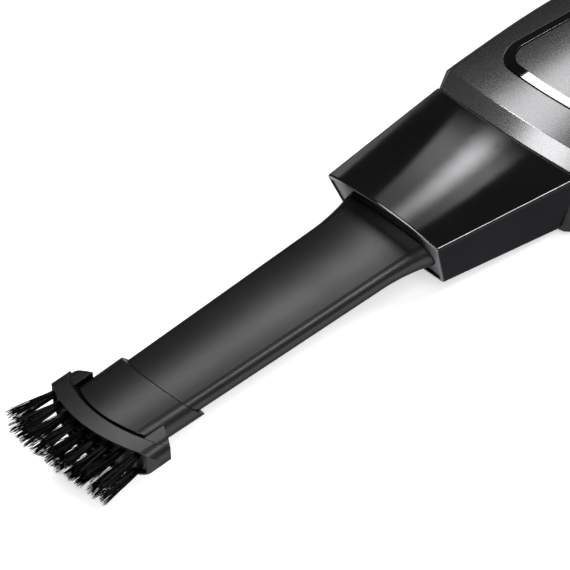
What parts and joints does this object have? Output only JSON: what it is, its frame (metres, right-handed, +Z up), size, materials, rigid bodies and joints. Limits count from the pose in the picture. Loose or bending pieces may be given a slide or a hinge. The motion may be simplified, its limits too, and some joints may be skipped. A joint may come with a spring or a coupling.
{
  "type": "handheld vacuum cleaner",
  "caption": "Cordless handheld vacuum with a silver and black body, gloss dust cup, flat tapering crevice tool and a slip-on bristle brush.",
  "frame": {"origin": "on the flat base it lies on, at the middle of the body's base", "axes": "+Z up from the base, +X from the nozzle towards the grip, +Y the vacuum's left when it points away from the user"},
  "size_m": [0.5516, 0.1034, 0.0623],
  "materials": {
    "black_plastic": "satin moulded",
    "cup_black": "high gloss",
    "nylon": "fine strands",
    "silver_coat": "metallic coat with a fine grain",
    "ring_black": "high gloss",
    "soft_black": "matt",
    "steel": "turned",
    "paper": "pleated",
    "foam": "open cell",
    "brass": "sintered",
    "fan_grey": "moulded",
    "board_green": "solder mask",
    "cell_wrap": "shrink wrap",
    "light": "clear"
  },
  "bodies": {
    "body": {"cup_seal": "soft_black", "bulkhead": "black_plastic", "top_shell": "silver_coat", "bottom_shell": "black_plastic", "decor_ring": "ring_black", "top_panel": "silver_coat", "grip_pad": "soft_black", "vent_grille_left": "black_plastic", "vent_grille_right": "black_plastic", "exhaust_foam_left": "foam", "exhaust_foam_right": "foam", "base_screw_1": "steel", "base_screw_2": "steel", "base_screw_3": "steel", "base_screw_4": "steel", "fan_shroud": "black_plastic", "motor_plate": "black_plastic", "motor_can": "steel", "motor_end_cap": "black_plastic", "front_bearing": "brass", "rear_bearing": "brass", "motor_boot": "soft_black", "battery_cell_left": "cell_wrap", "battery_cell_right": "cell_wrap", "battery_holder": "black_plastic", "cell_strap_front": "steel", "cell_strap_rear": "steel", "circuit_board": "board_green", "power_switch": "black_plastic", "light_pipe_1": "light", "light_pipe_2": "light", "light_pipe_3": "light", "rear_cap": "black_plastic", "charge_port": "steel", "cover_pin": "steel"},
    "cup": {"dust_cup": "cup_black", "flap_pin": "steel"},
    "flap": {"inlet_flap": "soft_black"},
    "tool": {"crevice_tool": "black_plastic"},
    "brush": {"brush_collar": "black_plastic", "brush_bristles": "nylon"},
    "filter": {"filter_frame": "black_plastic", "filter_mesh": "steel", "filter_pleats": "paper", "filter_seal": "soft_black"},
    "button": {"power_button": "black_plastic"},
    "fan": {"impeller": "fan_grey", "shaft": "steel", "armature": "steel"},
    "cover": {"port_cover": "soft_black"}
  },
  "joints": [
    {"name": "cup_slide", "type": "slide", "parent": "body", "child": "cup", "axis": [-1, 0, 0], "range_m": [0, 0.09]},
    {"name": "filter_slide", "type": "slide", "parent": "body", "child": "filter", "axis": [-1, 0, 0], "range_m": [0, 0.045]},
    {"name": "tool_slide", "type": "slide", "parent": "cup", "child": "tool", "axis": [-1, 0, 0], "range_m": [0, 0.034]},
    {"name": "brush_slide", "type": "slide", "parent": "tool", "child": "brush", "axis": [-1, 0, 0], "range_m": [0, 0.03]},
    {"name": "flap_swing", "type": "hinge", "parent": "cup", "child": "flap", "pos_m": [-0.1413, 0, 0.043], "axis": [0, -1, 0], "range_deg": [0, 40], "stiffness_Nm_per_rad": 0.0006, "springref_deg": -22.92},
    {"name": "power_press", "type": "slide", "parent": "body", "child": "button", "axis": [0, 0, -1], "range_m": [0, 0.0008], "stiffness_N_per_m": 600, "springref_m": -0.0008},
    {"name": "fan_spin", "type": "hinge", "parent": "body", "child": "fan", "pos_m": [-0.06, 0, 0.028], "axis": [1, 0, 0], "continuous": true},
    {"name": "cover_swing", "type": "hinge", "parent": "body", "child": "cover", "pos_m": [0.169, 0, 0.0441], "axis": [0, -1, 0], "range_deg": [0, 85]}
  ],
  "couplings": [
    {"joint": "filter_slide", "follows": "cup_slide", "ratio": 0.5}
  ]
}
